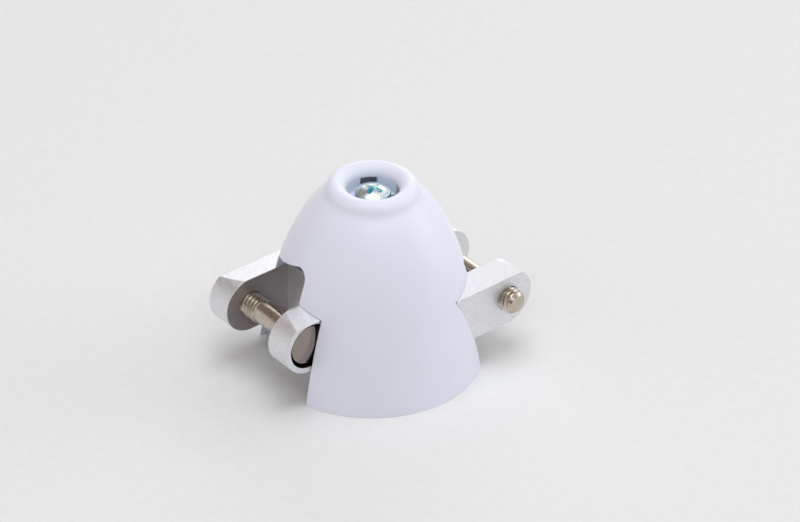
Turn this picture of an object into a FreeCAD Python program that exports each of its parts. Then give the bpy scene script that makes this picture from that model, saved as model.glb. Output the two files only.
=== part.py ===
"""Propeller spinner for two folding blades: a moulded nose cap over a clamped two-arm yoke.

The frame is in millimetres: +Z along the spinner's axis towards the nose, origin on the axis in
the plane of the cap's rim. The yoke's ear faces are parallel to XZ and its pivot screws to Y.
Everything but the nose vents and the cross recess repeats after half a turn about Z.
"""
import FreeCAD
import Part
import Sketcher

import math
import os

VEC = FreeCAD.Vector
ROOT_POINT = (-1, 1)
DOC = FreeCAD.newDocument("propeller_spinner")

# Driving dimensions in millimetres, or in degrees where the name ends so.
SIZES = {
    # Cap: an ogive of three tangent arcs, then a round bead of a lip about the nose recess.
    "rim_radius": 17.5,
    "rim_lean_deg": 7.15,
    "lower_arc": 113.7,
    "lower_top": 16.0,
    "middle_arc": 39.6,
    "middle_top": 25.24,
    "upper_arc": 14.7,
    "upper_top": 28.6,
    "lip_radius": 1.58,
    "lip_crest": 31.02,
    "recess_radius": 4.0,
    "seat_top": 27.6,
    "seat_bottom": 25.8,
    "seat_hole": 1.6,
    "wall": 1.2,
    "cavity_lower_top": 15.7,
    "cavity_middle_top": 24.6,
    "cavity_upper_top": 28.0,
    "socket_wall": 1.2,
    "vent_turn_deg": 59.0,
    "vent_width": 2.6,
    "vent_inner": 2.95,
    "vent_outer": 6.2,
    "vent_bottom": 25.0,
    "vent_top": 29.3,
    # Cap: the windows for the yoke's ears, with a sloping arch above each for the blade's root.
    "window_start": 5.0,
    "window_near_gap": 0.17,
    "window_far_gap": 0.05,
    "window_step_gap": 0.05,
    "window_reach": 16.0,
    "arch_side_gap": 0.02,
    "arch_shoulder": 18.5,
    "arch_corner": 1.7,
    "arch_slope_deg": 21.7,
    # Yoke.
    "pivot_x": 15.8,
    "pivot_z": 10.55,
    "ear_radius": 4.6,
    "ear_thickness": 4.35,
    "ear_fall_inner": 0.1,
    "ear_fall_outer": 0.8,
    "blade_gap": 10.0,
    "gap_middle": 4.53,
    "web_x": 8.6,
    "arm_start": 5.2,
    "hub_radius": 12.4,
    "taper_rear": 5.0,
    "taper_front": 4.1,
    "taper_top": 12.4,
    "stem_bore": 3.6,
    # Pivot screws: a rolled M4 thread on a shank of its pitch diameter.
    "pivot_tapped": 2.0,
    "pivot_clear": 2.05,
    "pivot_thread": 1.97,
    "pivot_shank": 1.77,
    "pivot_head": 3.25,
    "pivot_head_height": 2.25,
    "pivot_dome": 0.5,
    "pivot_chamfer": 0.6,
    "counterbore": 3.7,
    "counterbore_depth": 2.2,
    "thread_in_gap": 2.8,
    "thread_past_ear": 2.1,
    # Shaft clamp: a split taper collet, drawn up by a nut on a washer.
    "shaft_radius": 2.0,
    "collet_rear": 3.0,
    "collet_front": 18.8,
    "collet_gap": 0.02,
    "stem_radius": 3.48,
    "slit_width": 0.6,
    "slit_top": 14.0,
    "washer_radius": 7.0,
    "washer_thickness": 1.0,
    "nut_flats": 11.0,
    "nut_hex_top": 21.6,
    "nut_nose": 4.2,
    "nut_top": 25.2,
    "nut_bore": 3.5,
    "nut_bore_top": 19.4,
    "nut_tapped": 1.5,
    # Nose screw: an M3 pan head with a cross recess.
    "nose_thread": 1.47,
    "nose_length": 8.0,
    "nose_chamfer": 0.35,
    "nose_head": 2.7,
    "nose_head_height": 2.4,
    "nose_dome": 0.75,
    "cross_width": 0.8,
    "cross_reach": 1.5,
    "cross_depth": 1.2,
}
FAR = 30.0


def make_sheet():
    """Keep every driving dimension in one spreadsheet, a named cell each."""
    sheet = DOC.addObject("Spreadsheet::Sheet", "Sizes")
    for row, (alias, number) in enumerate(SIZES.items(), start=1):
        sheet.set("A%d" % row, alias)
        sheet.set("B%d" % row, str(number))
        sheet.setAlias("B%d" % row, alias)
    DOC.recompute()


class Length:
    """A sum of sheet cells and a constant: its number now, and the expression that keeps it bound."""

    def __init__(self, number, text):
        self.number = number
        self.text = text

    def __add__(self, other):
        other = length(other)
        return Length(self.number + other.number, "%s + %s" % (self.text, other.text))

    def __sub__(self, other):
        other = length(other)
        return Length(self.number - other.number, "%s - (%s)" % (self.text, other.text))

    def __neg__(self):
        return Length(-self.number, "-(%s)" % self.text)

    def __mul__(self, factor):
        return Length(self.number * factor, "(%s) * %r" % (self.text, factor))


def length(item):
    """A Length from a cell's name, a plain number or a Length."""
    if isinstance(item, Length):
        return item
    if isinstance(item, str):
        return Length(SIZES[item], "Sizes.%s" % item)
    return Length(float(item), "%r" % float(item))


def angled(item, function, cell):
    """A Length times the sin, cos or tan of the angle that a cell holds in degrees."""
    item = length(item)
    factor = getattr(math, function)(math.radians(SIZES[cell]))
    return Length(item.number * factor, "(%s) * %s(Sizes.%s * 1 deg)" % (item.text, function, cell))


# Heights and planes that several sub-parts share.
EAR_TOP = length("pivot_z") + "ear_radius"
EAR_BOTTOM = length("pivot_z") - "ear_radius"
GAP_FAR = length("gap_middle") + length("blade_gap") * 0.5
GAP_NEAR = length("gap_middle") - length("blade_gap") * 0.5
OUTER_FAR = GAP_FAR + "ear_thickness"
OUTER_NEAR = GAP_NEAR - "ear_thickness"
WASHER_TOP = EAR_TOP + "washer_thickness"


def new_body(label):
    """An empty PartDesign body that carries a sub-part's name."""
    body = DOC.addObject("PartDesign::Body", label)
    body.Label = label
    return body


def origin_feature(body, role):
    """The body's own origin plane or axis of that role, such as XY_Plane or Z_Axis."""
    return next(item for item in body.Origin.OriginFeatures if item.Role == role)


def new_sketch(body, name, plane, offset=0.0, turn_cell=None):
    """A sketch on one of the body's origin planes, moved along its normal and turned about it."""
    sketch = body.newObject("Sketcher::SketchObject", name)
    sketch.AttachmentSupport = [(origin_feature(body, plane), "")]
    sketch.MapMode = "FlatFace"
    offset = length(offset)
    turn = FreeCAD.Rotation(VEC(0, 0, 1), SIZES[turn_cell] if turn_cell else 0.0)
    sketch.AttachmentOffset = FreeCAD.Placement(VEC(0, 0, offset.number), turn)
    sketch.setExpression("AttachmentOffset.Base.z", offset.text)
    if turn_cell:
        sketch.setExpression("AttachmentOffset.Rotation.Angle", "Sizes.%s * 1 deg" % turn_cell)
    return sketch


def bind(sketch, index, label, text):
    """Name a constraint and bind it to an expression over the sheet."""
    sketch.renameConstraint(index, label)
    sketch.setExpression("Constraints." + label, text)


def pin(sketch, point, x=None, y=None):
    """Fix a sketch point at a bound distance from the sketch's origin, along either axis or both."""
    for kind, wanted in (("DistanceX", x), ("DistanceY", y)):
        if wanted is None:
            continue
        wanted = length(wanted)
        ends = ROOT_POINT + point
        if wanted.number < 0:
            wanted = -wanted
            ends = point + ROOT_POINT
        constraint = Sketcher.Constraint(kind, *ends, wanted.number)
        index = sketch.addConstraint(constraint)
        bind(sketch, index, "%s_%d_%d" % (kind[-1].lower(), point[0], point[1]), wanted.text)


def outline(sketch, corners):
    """A closed outline through corners (x, y), or (x, y, radius, bulge) where an arc leads to one.

    bulge is +1 where the arc turns anticlockwise on its way there, and -1 where it turns clockwise.
    """
    corners = [(length(corner[0]), length(corner[1])) + tuple(corner[2:]) for corner in corners]
    points = [VEC(corner[0].number, corner[1].number, 0) for corner in corners]
    edges = []
    for place, corner in enumerate(corners):
        start = points[place - 1]
        end = points[place]
        if len(corner) == 2:
            index = sketch.addGeometry(Part.LineSegment(start, end))
            edges.append((index, 1, 2))
            continue
        radius = length(corner[2])
        index = sketch.addGeometry(arc_between(start, end, radius.number, corner[3]))
        bind(sketch, sketch.addConstraint(Sketcher.Constraint("Radius", index, radius.number)),
             "radius_%d" % index, radius.text)
        edges.append((index, 1, 2) if corner[3] > 0 else (index, 2, 1))
    for place, (index, _, last) in enumerate(edges):
        following = edges[(place + 1) % len(edges)]
        sketch.addConstraint(Sketcher.Constraint("Coincident", index, last, following[0], following[1]))
        pin(sketch, (index, last), corners[place][0], corners[place][1])


def arc_between(start, end, radius, bulge):
    """The shorter arc of that radius from start to end, anticlockwise for bulge +1."""
    chord = end - start
    middle = (start + end) * 0.5
    rise = math.sqrt(max(radius ** 2 - (chord.Length / 2) ** 2, 0.0))
    normal = VEC(-chord.y, chord.x, 0).normalize()
    centre = middle + normal * (rise * bulge)
    circle = Part.Circle(centre, VEC(0, 0, 1), radius)
    first, last = (start, end) if bulge > 0 else (end, start)
    angles = [math.atan2(point.y - centre.y, point.x - centre.x) for point in (first, last)]
    return Part.ArcOfCircle(circle, angles[0], angles[1])


def circle(sketch, radius, x=0.0, y=0.0):
    """A full circle of bound radius and place."""
    radius = length(radius)
    x = length(x)
    y = length(y)
    index = sketch.addGeometry(Part.Circle(VEC(x.number, y.number, 0), VEC(0, 0, 1), radius.number))
    bind(sketch, sketch.addConstraint(Sketcher.Constraint("Radius", index, radius.number)),
         "radius_%d" % index, radius.text)
    pin(sketch, (index, 3), x, y)


def rectangle(sketch, x_low, x_high, y_low, y_high):
    """An upright rectangle between bound sides."""
    outline(sketch, [(x_low, y_low), (x_high, y_low), (x_high, y_high), (x_low, y_high)])


def volume(body):
    """The body's volume after a recompute, to compare before and after a feature."""
    DOC.recompute()
    return body.Shape.Volume if body.Tip and not body.Shape.isNull() else 0.0


def feature(body, kind, name, sketch, **settings):
    """A sketch-based feature; raises when an adding one adds nothing or a cutting one cuts nothing."""
    before = volume(body)
    item = body.newObject("PartDesign::" + kind, name)
    item.Profile = sketch
    sketch.Visibility = False
    for key, setting in settings.items():
        if isinstance(setting, Length):
            setattr(item, key, setting.number)
            item.setExpression(key, setting.text)
        else:
            setattr(item, key, setting)
    after = volume(body)
    adds = kind in ("Pad", "Revolution")
    if (after - before) * (1 if adds else -1) <= 0:
        raise RuntimeError("%s in %s changes nothing" % (name, body.Label))
    return item


def pad(body, name, sketch, height, **settings):
    return feature(body, "Pad", name, sketch, Length=length(height), **settings)


def pocket(body, name, sketch, depth, **settings):
    return feature(body, "Pocket", name, sketch, Length=length(depth), **settings)


def turned(body, kind, name, sketch):
    """A full turn of the sketch about its own vertical axis, added or cut."""
    return feature(body, kind, name, sketch, ReferenceAxis=(sketch, ["V_Axis"]), Angle=360.0)


def around_z(body, name, originals, count):
    """The same features repeated evenly about the body's Z axis."""
    pattern = body.newObject("PartDesign::PolarPattern", name)
    pattern.Originals = originals
    pattern.Axis = (origin_feature(body, "Z_Axis"), [""])
    pattern.Angle = 360.0
    pattern.Occurrences = count
    body.Tip = pattern
    DOC.recompute()
    return pattern


def tangent_arc(sketch, before, start, lean, radius, top):
    """An arc that carries on from the edge before it, inwards, up to the height top.

    lean is the tangent's angle from upright at the start; the new lean, the end and the edge return.
    """
    radius = length(radius)
    top = length(top)
    centre = VEC(start.x - radius.number * math.cos(lean), start.y - radius.number * math.sin(lean), 0)
    new_lean = math.asin((top.number - centre.y) / radius.number)
    arc = Part.ArcOfCircle(Part.Circle(centre, VEC(0, 0, 1), radius.number), lean, new_lean)
    index = sketch.addGeometry(arc)
    if before is not None:
        sketch.addConstraint(Sketcher.Constraint("Tangent", before, 2, index, 1))
    bind(sketch, sketch.addConstraint(Sketcher.Constraint("Radius", index, radius.number)),
         "radius_%d" % index, radius.text)
    pin(sketch, (index, 2), y=top)
    return index, arc.EndPoint, new_lean


def ogive(sketch, base_radius, shrink, tops):
    """The three tangent arcs of the cap's side, thinner by shrink, from the rim up to the last of tops."""
    lean = math.radians(SIZES["rim_lean_deg"])
    point = VEC(base_radius.number, 0, 0)
    before = None
    first = None
    for name, top in zip(("lower_arc", "middle_arc", "upper_arc"), tops):
        radius = length(name) - shrink
        before, point, lean = tangent_arc(sketch, before, point, lean, radius, top)
        if first is None:
            first = before
            pin(sketch, (first, 1), base_radius, 0.0)
            pin(sketch, (first, 3), y=-angled(radius, "sin", "rim_lean_deg"))
    return first, before, point, lean


def add_chain(sketch, start_edge, end_edge, points):
    """Straight edges from the end of one edge through bound points to the start of another."""
    first = sketch_point(sketch, end_edge, 2)
    last = end_edge
    for x, y in points:
        x = length(x)
        y = length(y)
        second = VEC(x.number, y.number, 0)
        index = sketch.addGeometry(Part.LineSegment(first, second))
        sketch.addConstraint(Sketcher.Constraint("Coincident", last, 2, index, 1))
        pin(sketch, (index, 2), x, y)
        first = second
        last = index
    closing = sketch.addGeometry(Part.LineSegment(first, sketch_point(sketch, start_edge, 1)))
    sketch.addConstraint(Sketcher.Constraint("Coincident", last, 2, closing, 1))
    sketch.addConstraint(Sketcher.Constraint("Coincident", closing, 2, start_edge, 1))


def sketch_point(sketch, edge, position):
    """The start (1) or end (2) of a sketch edge."""
    geometry = sketch.Geometry[edge]
    return geometry.StartPoint if position == 1 else geometry.EndPoint


def add_lip(sketch, edge, point, lean):
    """The nose lip: a hollow arc off the ogive into a round bead, down to the recess wall."""
    radius = length("lip_radius")
    bead_centre = VEC(SIZES["recess_radius"] + radius.number, SIZES["lip_crest"] - radius.number, 0)
    outward = VEC(math.cos(lean), math.sin(lean), 0)
    gap = point - bead_centre
    hollow_radius = (gap.Length ** 2 - radius.number ** 2) / (2 * (radius.number - outward.dot(gap)))
    hollow_centre = point + outward * hollow_radius
    facing = hollow_centre - bead_centre
    turn = math.atan2(facing.y, facing.x)
    hollow_circle = Part.Circle(hollow_centre, VEC(0, 0, 1), hollow_radius)
    hollow = sketch.addGeometry(Part.ArcOfCircle(hollow_circle, turn + math.pi, lean + math.pi))
    sketch.addConstraint(Sketcher.Constraint("Tangent", edge, 2, hollow, 2))
    bead_circle = Part.Circle(bead_centre, VEC(0, 0, 1), radius.number)
    bead = sketch.addGeometry(Part.ArcOfCircle(bead_circle, turn, math.pi))
    sketch.addConstraint(Sketcher.Constraint("Tangent", hollow, 1, bead, 1))
    bind(sketch, sketch.addConstraint(Sketcher.Constraint("Radius", bead, radius.number)), "lip_radius",
         radius.text)
    sketch.addConstraint(Sketcher.Constraint("Horizontal", bead, 3, bead, 2))
    pin(sketch, (bead, 2), "recess_radius", length("lip_crest") - radius)
    return bead


def spinner_cap():
    """The moulded cap: a thin ogive shell with a screw seat in its nose and two windows in its side."""
    body = new_body("spinner_cap")

    outside = new_sketch(body, "cap_outside", "XZ_Plane")
    tops = ("lower_top", "middle_top", "upper_top")
    first, last, point, lean = ogive(outside, length("rim_radius"), 0.0, tops)
    lip = add_lip(outside, last, point, lean)
    add_chain(outside, first, lip, [("recess_radius", "seat_top"), (0.0, "seat_top"), (0.0, 0.0)])
    turned(body, "Revolution", "cap_solid", outside)

    inside = new_sketch(body, "cap_inside", "XZ_Plane")
    tops = ("cavity_lower_top", "cavity_middle_top", "cavity_upper_top")
    first, last, point, lean = ogive(inside, length("rim_radius") - "wall", "wall", tops)
    socket = length("recess_radius") + "socket_wall"
    add_chain(inside, first, last, [(socket, length("cavity_upper_top") + 0.7), (socket, "seat_bottom"),
                                    (0.0, "seat_bottom"), (0.0, 0.0)])
    turned(body, "Groove", "cap_cavity", inside)

    hole = new_sketch(body, "cap_screw_hole", "XY_Plane", "seat_top")
    circle(hole, "seat_hole")
    pocket(body, "cap_hole", hole, length("seat_top") - "seat_bottom" + 1.0)

    window = new_sketch(body, "cap_window_side", "YZ_Plane", -length("window_start"))
    near_side = OUTER_NEAR - "window_near_gap"
    far_side = OUTER_FAR + "window_far_gap"
    step = length("window_step_gap")
    outer_step = EAR_TOP - "ear_fall_outer" + step
    inner_step = EAR_TOP - "ear_fall_inner" + step
    outline(window, [(near_side, -1.0), (far_side, -1.0), (far_side, outer_step), (GAP_FAR, inner_step),
                     (GAP_NEAR, inner_step), (near_side, outer_step)])
    ears = pocket(body, "cap_window", window, "window_reach")

    arch = new_sketch(body, "cap_arch_side", "YZ_Plane", -length("window_start"))
    low = GAP_NEAR - "arch_side_gap"
    high = GAP_FAR + "arch_side_gap"
    corner = length("arch_corner")
    turn_y = low + corner + angled(corner, "sin", "arch_slope_deg")
    turn_z = length("arch_shoulder") + angled(corner, "cos", "arch_slope_deg")
    high_z = turn_z - angled(high - turn_y, "tan", "arch_slope_deg")
    outline(arch, [(low, "pivot_z"), (high, "pivot_z"), (high, high_z), (turn_y, turn_z),
                   (low, "arch_shoulder", corner, 1)])
    blade = pocket(body, "cap_arch", arch, "window_reach")
    around_z(body, "cap_windows", [ears, blade], 2)

    vent = new_sketch(body, "cap_vent_plan", "XY_Plane", "vent_top", "vent_turn_deg")
    half = length("vent_width") * 0.5
    rectangle(vent, "vent_inner", "vent_outer", -half, half)
    slot = pocket(body, "cap_vent", vent, length("vent_top") - "vent_bottom")
    around_z(body, "cap_vents", [slot], 4)
    return body


def yoke():
    """The one-piece arm: a bored hub, offset clevises, counterbored near ears and tapped far ears."""
    body = new_body("yoke")
    height = EAR_TOP - EAR_BOTTOM
    tip = -(length("pivot_x") + "ear_radius")

    hub = new_sketch(body, "hub_plan", "XY_Plane", EAR_BOTTOM)
    circle(hub, "hub_radius")
    pad(body, "hub", hub, height)

    arm = new_sketch(body, "arm_plan", "XY_Plane", EAR_BOTTOM)
    rectangle(arm, tip, -length("arm_start"), OUTER_NEAR, OUTER_FAR)
    arms = pad(body, "arm", arm, height)

    gap = new_sketch(body, "gap_plan", "XY_Plane", EAR_TOP)
    rectangle(gap, -FAR, -length("web_x"), GAP_NEAR, GAP_FAR)
    gaps = pocket(body, "gap", gap, height)

    end = new_sketch(body, "end_side", "XZ_Plane")
    top = EAR_TOP
    bottom = EAR_BOTTOM
    pivot = -length("pivot_x")
    outline(end, [(tip, "pivot_z", "ear_radius", 1), (pivot, bottom, "ear_radius", 1), (pivot, bottom - 1.0),
                  (tip - 1.0, bottom - 1.0), (tip - 1.0, top + 1.0), (pivot, top + 1.0), (pivot, top)])
    ends = pocket(body, "end", end, 2 * FAR, Midplane=True)

    fall = new_sketch(body, "ear_top_side", "YZ_Plane", -length("arm_start"))
    for inner, outer in ((GAP_NEAR, OUTER_NEAR), (GAP_FAR, OUTER_FAR)):
        outline(fall, [(inner, top - "ear_fall_inner"), (outer, top - "ear_fall_outer"), (outer, top + 1.0),
                       (inner, top + 1.0)])
    falls = pocket(body, "ear_tops", fall, FAR)

    holes = []
    for name, radius, plane, depth in (
            ("tapped", "pivot_tapped", GAP_FAR, "ear_thickness"),
            ("clearance", "pivot_clear", OUTER_NEAR, "ear_thickness"),
            ("counterbore", "counterbore", OUTER_NEAR, "counterbore_depth")):
        side = new_sketch(body, name + "_side", "XZ_Plane", -plane)
        circle(side, radius, pivot, "pivot_z")
        holes.append(pocket(body, name + "_hole", side, depth))
    around_z(body, "both_arms", [arms, gaps, ends, falls] + holes, 2)

    bore = new_sketch(body, "bore_section", "XZ_Plane")
    outline(bore, [(0.0, bottom), ("taper_rear", bottom), ("taper_front", "taper_top"),
                   ("stem_bore", "taper_top"), ("stem_bore", top), (0.0, top)])
    turned(body, "Groove", "bore", bore)
    return body


def domed_head(radius, height, dome):
    """Outline points of a domed head above the seat at zero, out from the axis and down the rim."""
    bulge = (radius.number ** 2 + dome.number ** 2) / (2 * dome.number)
    text = "((%s)^2 + (%s)^2) / (2 * (%s))" % (radius.text, dome.text, dome.text)
    return [(0.0, height), (radius, height - dome, Length(bulge, text), -1), (radius, 0.0)]


def pivot_screw(label, half_turns):
    """A domed screw along Y, its head in the near ear and its thread through the far one."""
    body = new_body(label)
    seat = OUTER_NEAR + "counterbore_depth"
    thread_start = GAP_FAR - "thread_in_gap" - seat
    end = OUTER_FAR + "thread_past_ear" - seat
    thread = length("pivot_thread")
    section = new_sketch(body, label + "_section", "XZ_Plane")
    head = domed_head(length("pivot_head"), length("pivot_head_height"), length("pivot_dome"))
    chamfer_start = end - "pivot_chamfer"
    outline(section, head + [("pivot_shank", 0.0), ("pivot_shank", -thread_start), (thread, -thread_start),
                             (thread, -chamfer_start), (thread - "pivot_chamfer", -end), (0.0, -end)])
    turned(body, "Revolution", label + "_solid", section)
    lay = FreeCAD.Rotation(VEC(1, 0, 0), 90)
    place = FreeCAD.Placement(VEC(-SIZES["pivot_x"], seat.number, SIZES["pivot_z"]), lay)
    turn = FreeCAD.Placement(VEC(0, 0, 0), FreeCAD.Rotation(VEC(0, 0, 1), 180 * half_turns))
    body.Placement = turn.multiply(place)
    return body


def collet():
    """The split sleeve that grips the motor shaft: a taper, a threaded stem and three slits."""
    body = new_body("collet")
    slope = (SIZES["taper_rear"] - SIZES["taper_front"]) / (SIZES["taper_top"] - EAR_BOTTOM.number)
    slope_text = "(Sizes.taper_rear - Sizes.taper_front) / (Sizes.taper_top - (%s))" % EAR_BOTTOM.text
    below = EAR_BOTTOM - "collet_rear"
    flare = Length(below.number * slope, "(%s) * %s" % (below.text, slope_text))
    section = new_sketch(body, "collet_section", "XZ_Plane")
    outline(section, [("shaft_radius", "collet_rear"),
                      (length("taper_rear") - "collet_gap" + flare, "collet_rear"),
                      (length("taper_front") - "collet_gap", "taper_top"), ("stem_radius", "taper_top"),
                      ("stem_radius", "collet_front"), ("shaft_radius", "collet_front")])
    turned(body, "Revolution", "collet_sleeve", section)
    slit = new_sketch(body, "slit_plan", "XY_Plane", "slit_top")
    half = length("slit_width") * 0.5
    rectangle(slit, 1.0, FAR, -half, half)
    cut = pocket(body, "slit", slit, length("slit_top") - "collet_rear")
    around_z(body, "slits", [cut], 3)
    return body


def washer():
    """The flat washer between the yoke's hub and the nut."""
    body = new_body("washer")
    plan = new_sketch(body, "washer_plan", "XY_Plane", EAR_TOP)
    circle(plan, "washer_radius")
    circle(plan, "stem_bore")
    pad(body, "washer_ring", plan, "washer_thickness")
    return body


def collet_nut():
    """The hexagon nut that draws the collet up, with a round nose tapped for the nose screw."""
    body = new_body("collet_nut")
    plan = new_sketch(body, "nut_plan", "XY_Plane", WASHER_TOP)
    across = length("nut_flats") * 0.5
    half_side = length("nut_flats") * (0.5 / math.sqrt(3))
    corner = length("nut_flats") * (1 / math.sqrt(3))
    outline(plan, [(corner, 0.0), (half_side, across), (-half_side, across), (-corner, 0.0),
                   (-half_side, -across), (half_side, -across)])
    pad(body, "nut_hexagon", plan, length("nut_hex_top") - WASHER_TOP)
    nose = new_sketch(body, "nut_nose_plan", "XY_Plane", "nut_hex_top")
    circle(nose, "nut_nose")
    pad(body, "nut_nose", nose, length("nut_top") - "nut_hex_top")
    bore = new_sketch(body, "nut_bore_section", "XZ_Plane")
    outline(bore, [(0.0, WASHER_TOP), ("nut_bore", WASHER_TOP), ("nut_bore", "nut_bore_top"),
                   ("nut_tapped", "nut_bore_top"), ("nut_tapped", "nut_top"), (0.0, "nut_top")])
    turned(body, "Groove", "nut_bore", bore)
    return body


def nose_screw():
    """The pan-head screw that holds the cap down, with its cross recess."""
    body = new_body("nose_screw")
    section = new_sketch(body, "nose_section", "XZ_Plane")
    head = domed_head(length("nose_head"), length("nose_head_height"), length("nose_dome"))
    thread = length("nose_thread")
    end = length("nose_length")
    chamfer_start = end - "nose_chamfer"
    outline(section, head + [(thread, 0.0), (thread, -chamfer_start), (thread - "nose_chamfer", -end),
                             (0.0, -end)])
    turned(body, "Revolution", "nose_solid", section)
    cross = new_sketch(body, "cross_plan", "XY_Plane", "nose_head_height")
    arm = length("cross_width") * 0.5
    reach = length("cross_reach")
    outline(cross, [(reach, -arm), (reach, arm), (arm, arm), (arm, reach), (-arm, reach), (-arm, arm),
                    (-reach, arm), (-reach, -arm), (-arm, -arm), (-arm, -reach), (arm, -reach), (arm, -arm)])
    pocket(body, "cross_recess", cross, "cross_depth")
    body.Placement = FreeCAD.Placement(VEC(0, 0, SIZES["seat_top"]), FreeCAD.Rotation())
    return body


def check(bodies):
    """Stop on any failed object, or on a sub-part whose solid is missing or broken."""
    for item in DOC.Objects:
        if {"Invalid", "Error"} & set(item.State):
            raise RuntimeError("%s failed: %s" % (item.Name, item.State))
    for body in bodies:
        shape = body.Shape
        if shape.isNull() or not shape.isValid() or len(shape.Solids) != 1:
            raise RuntimeError("%s is not one valid solid" % body.Label)


def main():
    make_sheet()
    bodies = [spinner_cap(), yoke(), pivot_screw("pivot_screw_left", 0), pivot_screw("pivot_screw_right", 1),
              collet(), washer(), collet_nut(), nose_screw()]
    DOC.recompute()
    check(bodies)
    os.makedirs("parts", exist_ok=True)
    for body in bodies:
        body.Shape.exportStep("parts/%s.step" % body.Label)
        print("%-18s %9.1f mm3" % (body.Label, body.Shape.Volume))


main()
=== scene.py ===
"""Looks for the propeller spinner: matt white cap, tumbled aluminium yoke, nickel and zinc screws."""

import math

import bmesh
import bpy
from mathutils import Matrix, Vector

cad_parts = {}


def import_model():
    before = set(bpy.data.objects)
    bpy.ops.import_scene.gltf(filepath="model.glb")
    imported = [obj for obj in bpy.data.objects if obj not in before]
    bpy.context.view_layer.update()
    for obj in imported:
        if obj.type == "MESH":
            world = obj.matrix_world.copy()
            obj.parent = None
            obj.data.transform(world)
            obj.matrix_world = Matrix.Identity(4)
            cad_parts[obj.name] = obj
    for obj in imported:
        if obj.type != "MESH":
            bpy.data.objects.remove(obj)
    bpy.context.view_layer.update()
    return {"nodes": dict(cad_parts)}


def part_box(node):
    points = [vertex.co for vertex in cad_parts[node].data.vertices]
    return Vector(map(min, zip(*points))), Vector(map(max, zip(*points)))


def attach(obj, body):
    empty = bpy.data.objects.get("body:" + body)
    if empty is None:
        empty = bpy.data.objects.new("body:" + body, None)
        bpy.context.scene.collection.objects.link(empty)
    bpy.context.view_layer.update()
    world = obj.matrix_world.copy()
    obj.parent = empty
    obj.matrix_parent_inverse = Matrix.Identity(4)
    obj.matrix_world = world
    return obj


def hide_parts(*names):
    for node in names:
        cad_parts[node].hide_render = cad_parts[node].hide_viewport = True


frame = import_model()
MM = 0.001
TURN = 2 * math.pi

# Camera: a long lens from the left front, looking down on the cap.
CAMERA_AZIMUTH = math.radians(-41.13)
CAMERA_ELEVATION = math.radians(33.74)
CAMERA_ROLL = math.radians(1.38)
CAMERA_DISTANCE = 495.04 * MM
CAMERA_RIGHT = 4.655 * MM
CAMERA_UP = 13.892 * MM
CAMERA_LENS = 144.0

# Softboxes: name, azimuth and elevation in degrees, power in watts.
LAMPS = (
    ("overhead", 0, 90, 3.9),
    ("left", 195, 35, 0.75),
    ("right", 0, 45, 0.66),
    ("back_right", 40, 40, 0.3),
    ("front", 240, 45, 1.6),
    ("front_right", 300, 45, 0.45),
    ("low_back_right", 45, 15, 2.2),
    ("low_back_left", 150, 15, 0.7),
    ("low_right", 330, 15, 2.2),
)

LAMP_SIZE = 0.6               # metres
LAMP_DISTANCE = 0.9           # metres
LAMP_COLOR = (0.945, 1.0, 1.046)
LAMP_TARGET_Z = 0.015         # metres, about half the cap's height
SKY_STRENGTH = 0.2
SKY_COLOR = (1.22, 0.97, 0.78)
FLOOR_HALF = 3.0              # metres

# Screws, in millimetres. Their axes, ends and head radii come from the CAD nodes.
M4_PITCH = 0.7
M3_PITCH = 0.5
THREAD_DEPTH = 0.613          # of the pitch
THREAD_ROWS = 10              # rows of faces in a pitch
THREAD_RUN_OUT = 0.3          # of the pitch
THREAD_CREST_HALF = 1 / 16    # of the pitch
THREAD_FLANK = 5 / 16         # of the pitch
SCREW_STEPS = 72              # faces around a screw
DOME_STEPS = 14
HEAD_EDGE = 0.18              # radius at the rim of a head
HEAD_EDGE_DROP = 0.98         # of that radius, from the dome's end down to the rim's centre
HEAD_EDGE_STEPS = 5
HEAD_ROOT = 0.15              # radius between a head and its shank
HEAD_ROOT_STEPS = 4
HEAD_BEVEL = 0.1              # under the rim of a head
MERGE = 1e-4
SHARP_ANGLE = math.radians(38)

# The yoke's blade gap and counterbores, in millimetres, where x is negative, for the masks of painted shade
# and painted reflection.
GAP_FAR = 9.53
PIVOT_X = 15.8
PIVOT_Z = 10.55
COUNTERBORE = 3.7
COUNTERBORE_FLOOR = -2.62
MASK_MARGIN = 0.02
FLOOR_MARGIN = 0.05
HEAD_MARGIN = 0.1

PIVOT_HEAD_HEIGHT = 2.25
PIVOT_DOME = 0.5
PIVOT_SHANK = 1.77
PIVOT_THREAD = 1.97
PIVOT_THREAD_START = 9.35     # from under the head
PIVOT_CHAMFER = 0.6
NOSE_HEAD_HEIGHT = 2.4
NOSE_DOME = 0.75
NOSE_SHANK = 1.35
NOSE_THREAD = 1.47
NOSE_THREAD_START = 0.6       # from under the head
NOSE_CHAMFER = 0.35
CROSS_REACH = 1.75
CROSS_FLOOR_REACH = 0.8
CROSS_WIDTH = 0.9
CROSS_FLOOR_WIDTH = 0.55
CROSS_DEPTH = 1.2
CROSS_TURN = math.radians(20)
CROSS_CLEAR = 0.5             # how far the cutter stands out of the head
CROSS_CLEAR_REACH = 2.05


# ---------------------------------------------------------------- materials

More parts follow.
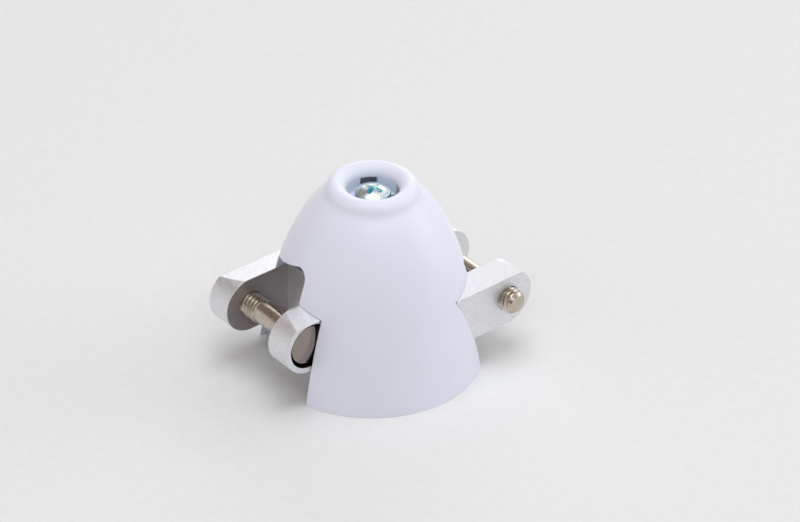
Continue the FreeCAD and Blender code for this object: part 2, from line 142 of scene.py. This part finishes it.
class Finish:
    """A Principled material and short calls that add procedural detail in object coordinates."""

    def __init__(self, name, color, roughness, metallic=0.0):
        self.material = bpy.data.materials.new(name)
        self.material.use_nodes = True
        self.tree = self.material.node_tree
        self.shader = self.tree.nodes["Principled BSDF"]
        self.color = color
        self.roughness = roughness
        self.set("Base Color", (*color, 1.0))
        self.set("Roughness", roughness)
        self.set("Metallic", metallic)
        self.place = self.node("ShaderNodeTexCoord").outputs["Object"]

    def node(self, kind, **settings):
        made = self.tree.nodes.new(kind)
        for key, setting in settings.items():
            setattr(made, key, setting)
        return made

    def set(self, socket, setting):
        self.shader.inputs[socket].default_value = setting

    def link(self, source, target):
        self.tree.links.new(source, target)

    def stretched(self, scale):
        """Object coordinates scaled unevenly, for grain that runs one way."""
        mapping = self.node("ShaderNodeMapping")
        mapping.inputs["Scale"].default_value = scale
        self.link(self.place, mapping.inputs["Vector"])
        return mapping.outputs["Vector"]

    def noise(self, size_mm, detail=3.0, place=None):
        """Noise whose features are about size_mm across."""
        made = self.node("ShaderNodeTexNoise")
        made.inputs["Scale"].default_value = 1.0 / (size_mm * MM)
        made.inputs["Detail"].default_value = detail
        self.link(place or self.place, made.inputs["Vector"])
        return made.outputs["Fac"]

    def spread(self, source, low, high, from_low=0.3, from_high=0.7):
        """A noise's middle range stretched to low..high."""
        made = self.node("ShaderNodeMapRange")
        made.inputs["From Min"].default_value = from_low
        made.inputs["From Max"].default_value = from_high
        made.inputs["To Min"].default_value = low
        made.inputs["To Max"].default_value = high
        self.link(source, made.inputs["Value"])
        return made.outputs["Result"]

    def vary_roughness(self, source, amount):
        self.link(self.spread(source, self.roughness - amount, self.roughness + amount),
                  self.shader.inputs["Roughness"])

    def vary_color(self, source, other):
        """From the material's own colour to the other one, by source from 0 to 1."""
        made = self.node("ShaderNodeMix", data_type="RGBA")
        made.inputs["A"].default_value = (*self.color, 1.0)
        made.inputs["B"].default_value = (*other, 1.0)
        self.link(source, made.inputs["Factor"])
        self.link(made.outputs["Result"], self.shader.inputs["Base Color"])

    def math(self, operation, first, second=0.0, third=0.0):
        """A maths node over sockets and plain numbers."""
        made = self.node("ShaderNodeMath", operation=operation)
        for place, source in enumerate((first, second, third)):
            if isinstance(source, (int, float)):
                made.inputs[place].default_value = source
            else:
                self.link(source, made.inputs[place])
        return made.outputs["Value"]

    def recolor(self, mask, color):
        """Over whatever gives the base colour so far, another colour where mask is 1."""
        under = self.shader.inputs["Base Color"].links[0].from_socket
        made = self.node("ShaderNodeMix", data_type="RGBA")
        self.link(under, made.inputs["A"])
        made.inputs["B"].default_value = (*color, 1.0)
        self.link(mask, made.inputs["Factor"])
        self.link(made.outputs["Result"], self.shader.inputs["Base Color"])

    def bump(self, source, height_mm, edge_mm=0.0):
        """Relief from a noise; with edge_mm, over edges that look rounded to that radius."""
        made = self.node("ShaderNodeBump")
        if edge_mm:
            rounded = self.node("ShaderNodeBevel", samples=6)
            rounded.inputs["Radius"].default_value = edge_mm * MM
            self.link(rounded.outputs["Normal"], made.inputs["Normal"])
        made.inputs["Strength"].default_value = 1.0
        made.inputs["Distance"].default_value = height_mm * MM
        self.link(source, made.inputs["Height"])
        self.link(made.outputs["Normal"], self.shader.inputs["Normal"])


def cap_plastic():
    """Matt white moulded plastic with a cool cast and a faint mould grain."""
    finish = Finish("cap_plastic", (0.80, 0.815, 0.94), 0.42)
    finish.set("Specular IOR Level", 0.45)
    finish.set("Sheen Weight", 0.25)
    finish.set("Sheen Roughness", 0.4)
    finish.vary_roughness(finish.noise(3.0), 0.05)
    finish.vary_color(finish.spread(finish.noise(9.0), 0.0, 1.0), (0.785, 0.80, 0.925))
    finish.bump(finish.noise(0.12), 0.004, edge_mm=0.15)
    return finish.material


def yoke_aluminium():
    """Tumbled aluminium, with painted shade on one inner ear face of each fork and painted shadow down the
    counterbores.
    """
    finish = Finish("yoke_aluminium", (0.86, 0.865, 0.895), 0.5, metallic=1.0)
    finish.vary_roughness(finish.noise(0.5, 4.0), 0.08)
    finish.vary_color(finish.spread(finish.noise(0.3, 4.0), 0.0, 1.0), (0.74, 0.74, 0.77))
    finish.bump(finish.noise(0.22, 4.0), 0.012, edge_mm=0.2)

    apart = finish.node("ShaderNodeSeparateXYZ")
    finish.link(finish.place, apart.inputs["Vector"])
    side = finish.math("SIGN", apart.outputs["X"])
    across = finish.math("MULTIPLY", finish.math("MULTIPLY", apart.outputs["Y"], side), -1.0)
    # Painted shade and reflection: one inner ear face of each fork is coloured darker, for the dark ear and
    # shadowed floor it reflects.
    finish.recolor(finish.math("COMPARE", across, GAP_FAR * MM, MASK_MARGIN * MM), (0.50, 0.455, 0.455))

    # Painted shadow: the counterbore walls beneath the screw heads are coloured near black, for the shade
    # down the recess.
    along = finish.math("SUBTRACT", finish.math("ABSOLUTE", apart.outputs["X"]), PIVOT_X * MM)
    height = finish.math("SUBTRACT", apart.outputs["Z"], PIVOT_Z * MM)
    squared = finish.math("ADD", finish.math("MULTIPLY", along, along),
                          finish.math("MULTIPLY", height, height))
    inside = finish.math("LESS_THAN", squared, ((COUNTERBORE + MASK_MARGIN) * MM) ** 2)
    deep = finish.math("LESS_THAN", across, (COUNTERBORE_FLOOR + FLOOR_MARGIN) * MM)
    finish.recolor(finish.math("MULTIPLY", inside, deep), (0.05, 0.045, 0.04))
    return finish.material


def nickel():
    """Warm nickel plate, with the heads polished and painted darker, for the dark surroundings they
    reflect.
    """
    finish = Finish("nickel", (0.60, 0.54, 0.47), 0.24, metallic=1.0)
    finish.vary_color(finish.spread(finish.noise(1.2), 0.0, 1.0), (0.51, 0.45, 0.385))
    apart = finish.node("ShaderNodeSeparateXYZ")
    finish.link(finish.place, apart.inputs["Vector"])
    across = finish.math("MULTIPLY", apart.outputs["Y"], finish.math("SIGN", apart.outputs["X"]))
    # Painted reflection: the heads are coloured darker than the shanks, for the dark surroundings their
    # polished domes reflect.
    head = finish.math("GREATER_THAN", across, (-COUNTERBORE_FLOOR + HEAD_MARGIN) * MM)
    finish.recolor(head, (0.30, 0.255, 0.23))
    rough = finish.spread(finish.noise(0.8), 0.20, 0.30)
    finish.link(finish.math("SUBTRACT", rough, finish.math("MULTIPLY", head, 0.14)),
                finish.shader.inputs["Roughness"])
    finish.bump(finish.noise(0.3), 0.003)
    return finish.material


def zinc():
    """Clear zinc plate with its blue cast, deeper and greener down in the cross recess."""
    finish = Finish("zinc", (0.80, 0.86, 0.885), 0.3, metallic=1.0)
    finish.vary_roughness(finish.noise(0.6), 0.06)
    apart = finish.node("ShaderNodeSeparateXYZ")
    finish.link(finish.place, apart.inputs["Vector"])
    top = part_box("nose_screw")[1].z
    finish.vary_color(finish.spread(apart.outputs["Z"], 0.0, 1.0, top - 0.45 * MM, top - 0.9 * MM),
                      (0.30, 0.68, 0.76))
    finish.bump(finish.noise(0.25), 0.004)
    return finish.material


def brass():
    finish = Finish("collet_brass", (0.72, 0.52, 0.24), 0.3, metallic=1.0)
    finish.vary_roughness(finish.noise(0.4, place=finish.stretched((1, 1, 8))), 0.08)
    finish.vary_color(finish.spread(finish.noise(1.5), 0.0, 1.0), (0.62, 0.43, 0.19))
    finish.bump(finish.noise(0.3, place=finish.stretched((1, 1, 10))), 0.004)
    return finish.material


def turned_metal(name, color, darker):
    """Plain metal with turning marks round its axis."""
    finish = Finish(name, color, 0.32, metallic=1.0)
    finish.vary_roughness(finish.noise(0.4, place=finish.stretched((1, 1, 8))), 0.08)
    finish.vary_color(finish.spread(finish.noise(1.5), 0.0, 1.0), darker)
    finish.bump(finish.noise(0.3, place=finish.stretched((1, 1, 10))), 0.004)
    return finish.material


def dress(node, material):
    """Give a CAD node its material."""
    mesh = frame["nodes"][node].data
    mesh.materials.clear()
    mesh.materials.append(material)


# ---------------------------------------------------------------- screws

def thread_radius(phase, major, pitch):
    """An ISO thread's radius at a phase in pitches: crest an eighth wide, root a quarter wide."""
    distance = abs((phase + 0.5) % 1.0 - 0.5)
    fall = (distance - THREAD_CREST_HALF) / THREAD_FLANK
    return major - THREAD_DEPTH * pitch * min(max(fall, 0.0), 1.0)


def ring_point(angle, radius, along):
    return Vector((radius * math.cos(angle), radius * math.sin(angle), along))


def add_turned(bm, profile):
    """Faces of a full turn of profile, a list of (radius, along) from the axis outward."""
    for (r0, z0), (r1, z1) in zip(profile, profile[1:]):
        for step in range(SCREW_STEPS):
            a0 = TURN * step / SCREW_STEPS
            a1 = TURN * (step + 1) / SCREW_STEPS
            corners = [ring_point(a0, r0, z0), ring_point(a0, r1, z1), ring_point(a1, r1, z1),
                       ring_point(a1, r0, z0)]
            bm.faces.new([bm.verts.new(corner) for corner in corners])


def add_thread(bm, start, end, shank, major, pitch, chamfer):
    """A right-hand thread from a plain shank to a chamfered end, its rows of faces along the helix."""

    def point(step, row):
        angle = TURN * step / SCREW_STEPS
        along = start + pitch * (row / THREAD_ROWS - 1 + step / SCREW_STEPS)
        along = min(max(along, start), end)
        radius = thread_radius(along / pitch - step / SCREW_STEPS, major, pitch)
        blend = min((along - start) / (THREAD_RUN_OUT * pitch), 1.0)
        radius = shank + (radius - shank) * blend
        radius = min(radius, major - chamfer + (end - along))
        return ring_point(angle, radius, along)

    rows = math.ceil((end - start) / pitch * THREAD_ROWS) + THREAD_ROWS
    for row in range(rows):
        for step in range(SCREW_STEPS):
            corners = [point(step, row), point(step, row + 1), point(step + 1, row + 1),
                       point(step + 1, row)]
            bm.faces.new([bm.verts.new(corner) for corner in corners])
    for step in range(SCREW_STEPS):
        edge = [point(step, rows + THREAD_ROWS), point(step + 1, rows + THREAD_ROWS), Vector((0, 0, end))]
        bm.faces.new([bm.verts.new(corner) for corner in edge])


def arc(centre, radius, start, end, steps):
    """Points (radius, along) on an arc, angles in degrees from the outward direction."""
    turns = [math.radians(start + (end - start) * step / steps) for step in range(steps + 1)]
    return [(centre[0] + radius * math.cos(turn), centre[1] + radius * math.sin(turn)) for turn in turns]


def head_profile(radius, height, dome, shank):
    """Half section of a domed head, from its top to the shank; along grows towards the tip."""
    ball = (radius ** 2 + dome ** 2) / (2 * dome)
    centre = -height + ball
    shoulder = radius - HEAD_EDGE
    lean = math.degrees(math.asin(shoulder / ball))
    leans = [math.radians(lean * step / DOME_STEPS) for step in range(DOME_STEPS + 1)]
    top = [(ball * math.sin(turn), centre - ball * math.cos(turn)) for turn in leans]
    corner = arc((shoulder, top[-1][1] + HEAD_EDGE * HEAD_EDGE_DROP), HEAD_EDGE, -90 + lean / 2, 0,
                 HEAD_EDGE_STEPS)
    under = arc((shank + HEAD_ROOT, HEAD_ROOT), HEAD_ROOT, -90, -180, HEAD_ROOT_STEPS)
    return top + corner + [(radius, -HEAD_BEVEL), (radius - HEAD_BEVEL, 0.0)] + under


def screw(name, head, shank, major, pitch, start, end, chamfer, place, material):
    """A whole screw as one mesh; place maps its own +Z, from the head to the tip, into the frame."""
    bm = bmesh.new()
    radius, height, dome = head
    profile = head_profile(radius, height, dome, shank)
    add_turned(bm, profile + [(shank, start)])
    add_thread(bm, start, end, shank, major, pitch, chamfer)
    bmesh.ops.remove_doubles(bm, verts=bm.verts, dist=MERGE)
    bmesh.ops.dissolve_degenerate(bm, edges=bm.edges, dist=MERGE)
    bmesh.ops.recalc_face_normals(bm, faces=bm.faces)
    bmesh.ops.transform(bm, matrix=place @ Matrix.Scale(MM, 4), verts=bm.verts)
    mesh = bpy.data.meshes.new(name)
    bm.to_mesh(mesh)
    bm.free()
    mesh.materials.append(material)
    mesh.shade_smooth()
    mesh.set_sharp_from_angle(angle=SHARP_ANGLE)
    piece = bpy.data.objects.new(name, mesh)
    bpy.context.scene.collection.objects.link(piece)
    return piece


def frame_at(origin, x_axis, y_axis, z_axis):
    """The matrix that takes a piece's own axes to the given ones at origin."""
    turn = Matrix((x_axis, y_axis, z_axis)).transposed().to_4x4()
    return Matrix.Translation(origin) @ turn


def pivot_screw(node, side, material):
    """The pivot screw that stands for the node; side is +1 where its tip points along +Y, -1 along -Y."""
    low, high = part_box(node)
    middle = (low + high) / 2
    head_end = low.y if side > 0 else high.y
    seat = Vector((middle.x, head_end + side * PIVOT_HEAD_HEIGHT * MM, middle.z))
    place = frame_at(seat, Vector((0, 0, 1)), Vector((side, 0, 0)), Vector((0, side, 0)))
    length = (high.y - low.y) / MM - PIVOT_HEAD_HEIGHT
    head = ((high.x - low.x) / 2 / MM, PIVOT_HEAD_HEIGHT, PIVOT_DOME)
    piece = screw(node + "_threaded", head, PIVOT_SHANK, PIVOT_THREAD, M4_PITCH, PIVOT_THREAD_START,
                  length, PIVOT_CHAMFER, place, material)
    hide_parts(node)
    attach(piece, "root")
    return piece


def cross_cutter(top):
    """A cross that narrows downwards, to cut the screw's recess."""
    bm = bmesh.new()
    rings = []
    for along, reach, width in ((CROSS_CLEAR, CROSS_CLEAR_REACH, CROSS_WIDTH),
                                (0.0, CROSS_REACH, CROSS_WIDTH),
                                (-CROSS_DEPTH, CROSS_FLOOR_REACH, CROSS_FLOOR_WIDTH)):
        ring = []
        for quarter in range(4):
            turn = Matrix.Rotation(quarter * TURN / 4 + CROSS_TURN, 4, "Z")
            for corner in ((reach, -width / 2), (reach, width / 2), (width / 2, width / 2)):
                ring.append(bm.verts.new(turn @ Vector((*corner, along))))
        rings.append(ring)
    for upper, lower in zip(rings, rings[1:]):
        for index in range(len(upper)):
            bm.faces.new((upper[index - 1], upper[index], lower[index], lower[index - 1]))
    bm.faces.new(rings[0])
    bm.faces.new(rings[-1])
    bmesh.ops.recalc_face_normals(bm, faces=bm.faces)
    bmesh.ops.transform(bm, matrix=Matrix.Translation((0, 0, top)) @ Matrix.Scale(MM, 4), verts=bm.verts)
    mesh = bpy.data.meshes.new("cross_cutter")
    bm.to_mesh(mesh)
    bm.free()
    cutter = bpy.data.objects.new("cross_cutter", mesh)
    bpy.context.scene.collection.objects.link(cutter)
    return cutter


def cut(piece, cutter):
    """Take the cutter's shape out of the piece and remove the cutter."""
    modifier = piece.modifiers.new("recess", "BOOLEAN")
    modifier.object = cutter
    modifier.solver = "EXACT"
    depsgraph = bpy.context.evaluated_depsgraph_get()
    mesh = bpy.data.meshes.new_from_object(piece.evaluated_get(depsgraph))
    piece.modifiers.clear()
    piece.data = mesh
    bpy.data.objects.remove(cutter)
    mesh.shade_smooth()
    mesh.set_sharp_from_angle(angle=SHARP_ANGLE)


def nose_screw(material):
    """The pan-head screw in the nose recess, with a tapered cross recess."""
    low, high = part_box("nose_screw")
    seat = Vector((0, 0, high.z - NOSE_HEAD_HEIGHT * MM))
    place = frame_at(seat, Vector((1, 0, 0)), Vector((0, -1, 0)), Vector((0, 0, -1)))
    head = ((high.x - low.x) / 2 / MM, NOSE_HEAD_HEIGHT, NOSE_DOME)
    length = (seat.z - low.z) / MM
    piece = screw("nose_screw_threaded", head, NOSE_SHANK, NOSE_THREAD, M3_PITCH, NOSE_THREAD_START, length,
                  NOSE_CHAMFER, place, material)
    cut(piece, cross_cutter(high.z))
    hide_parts("nose_screw")
    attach(piece, "root")
    return piece


# ---------------------------------------------------------------- studio

def floor_material():
    finish = Finish("floor", (0.79, 0.79, 0.793), 0.9)
    finish.set("Specular IOR Level", 0.1)
    finish.vary_color(finish.spread(finish.noise(1.6, 6.0), 0.0, 1.0), (0.77, 0.77, 0.773))
    finish.bump(finish.noise(0.9, 5.0), 0.05)
    return finish.material


def floor():
    """A plain pale table, well past the view."""
    bm = bmesh.new()
    bmesh.ops.create_grid(bm, x_segments=1, y_segments=1, size=FLOOR_HALF)
    mesh = bpy.data.meshes.new("floor")
    bm.to_mesh(mesh)
    bm.free()
    mesh.materials.append(floor_material())
    piece = bpy.data.objects.new("floor", mesh)
    bpy.context.scene.collection.objects.link(piece)


def softbox(name, azimuth, elevation, power):
    """A square area lamp that faces the object; azimuth is counted from +X, anticlockwise from above."""
    data = bpy.data.lights.new(name, "AREA")
    data.size = LAMP_SIZE
    data.energy = power
    data.color = LAMP_COLOR
    lamp = bpy.data.objects.new(name, data)
    azimuth = math.radians(azimuth)
    elevation = math.radians(elevation)
    away = Vector((math.cos(azimuth) * math.cos(elevation), math.sin(azimuth) * math.cos(elevation),
                   math.sin(elevation)))
    lamp.location = away * LAMP_DISTANCE + Vector((0, 0, LAMP_TARGET_Z))
    lamp.rotation_euler = away.to_track_quat("Z", "Y").to_euler()
    bpy.context.scene.collection.objects.link(lamp)


def world(strength, color):
    """An even sky, warmer than the lamps, so that shadows are warm."""
    made = bpy.data.worlds.new("sky")
    made.use_nodes = True
    back = made.node_tree.nodes["Background"]
    back.inputs["Color"].default_value = (*color, 1.0)
    back.inputs["Strength"].default_value = strength
    bpy.context.scene.world = made


def camera():
    """The long lens, placed by its azimuth, elevation, roll and distance from the object's origin."""
    back = Vector((math.sin(CAMERA_AZIMUTH) * math.cos(CAMERA_ELEVATION),
                   -math.cos(CAMERA_AZIMUTH) * math.cos(CAMERA_ELEVATION), math.sin(CAMERA_ELEVATION)))
    level = Vector((math.cos(CAMERA_AZIMUTH), math.sin(CAMERA_AZIMUTH), 0))
    rise = back.cross(level)
    right = level * math.cos(CAMERA_ROLL) + rise * math.sin(CAMERA_ROLL)
    up = rise * math.cos(CAMERA_ROLL) - level * math.sin(CAMERA_ROLL)
    data = bpy.data.cameras.new("camera")
    data.lens = CAMERA_LENS
    data.sensor_width = 36.0
    data.clip_start = 0.01
    data.clip_end = 20.0
    piece = bpy.data.objects.new("camera", data)
    place = back * CAMERA_DISTANCE + right * CAMERA_RIGHT + up * CAMERA_UP
    piece.matrix_world = frame_at(place, right, up, back)
    bpy.context.scene.collection.objects.link(piece)
    bpy.context.scene.camera = piece


def main():
    dress("spinner_cap", cap_plastic())
    dress("yoke", yoke_aluminium())
    dress("collet", brass())
    dress("washer", turned_metal("washer_steel", (0.6, 0.6, 0.6), (0.5, 0.5, 0.5)))
    dress("collet_nut", turned_metal("nut_aluminium", (0.8, 0.8, 0.8), (0.7, 0.7, 0.7)))
    plate = nickel()
    pivot_screw("pivot_screw_left", 1, plate)
    pivot_screw("pivot_screw_right", -1, plate)
    nose_screw(zinc())
    floor()
    for name, azimuth, elevation, power in LAMPS:
        softbox(name, azimuth, elevation, power)
    world(SKY_STRENGTH, SKY_COLOR)
    camera()
    bpy.context.scene.view_settings.view_transform = "Standard"


main()
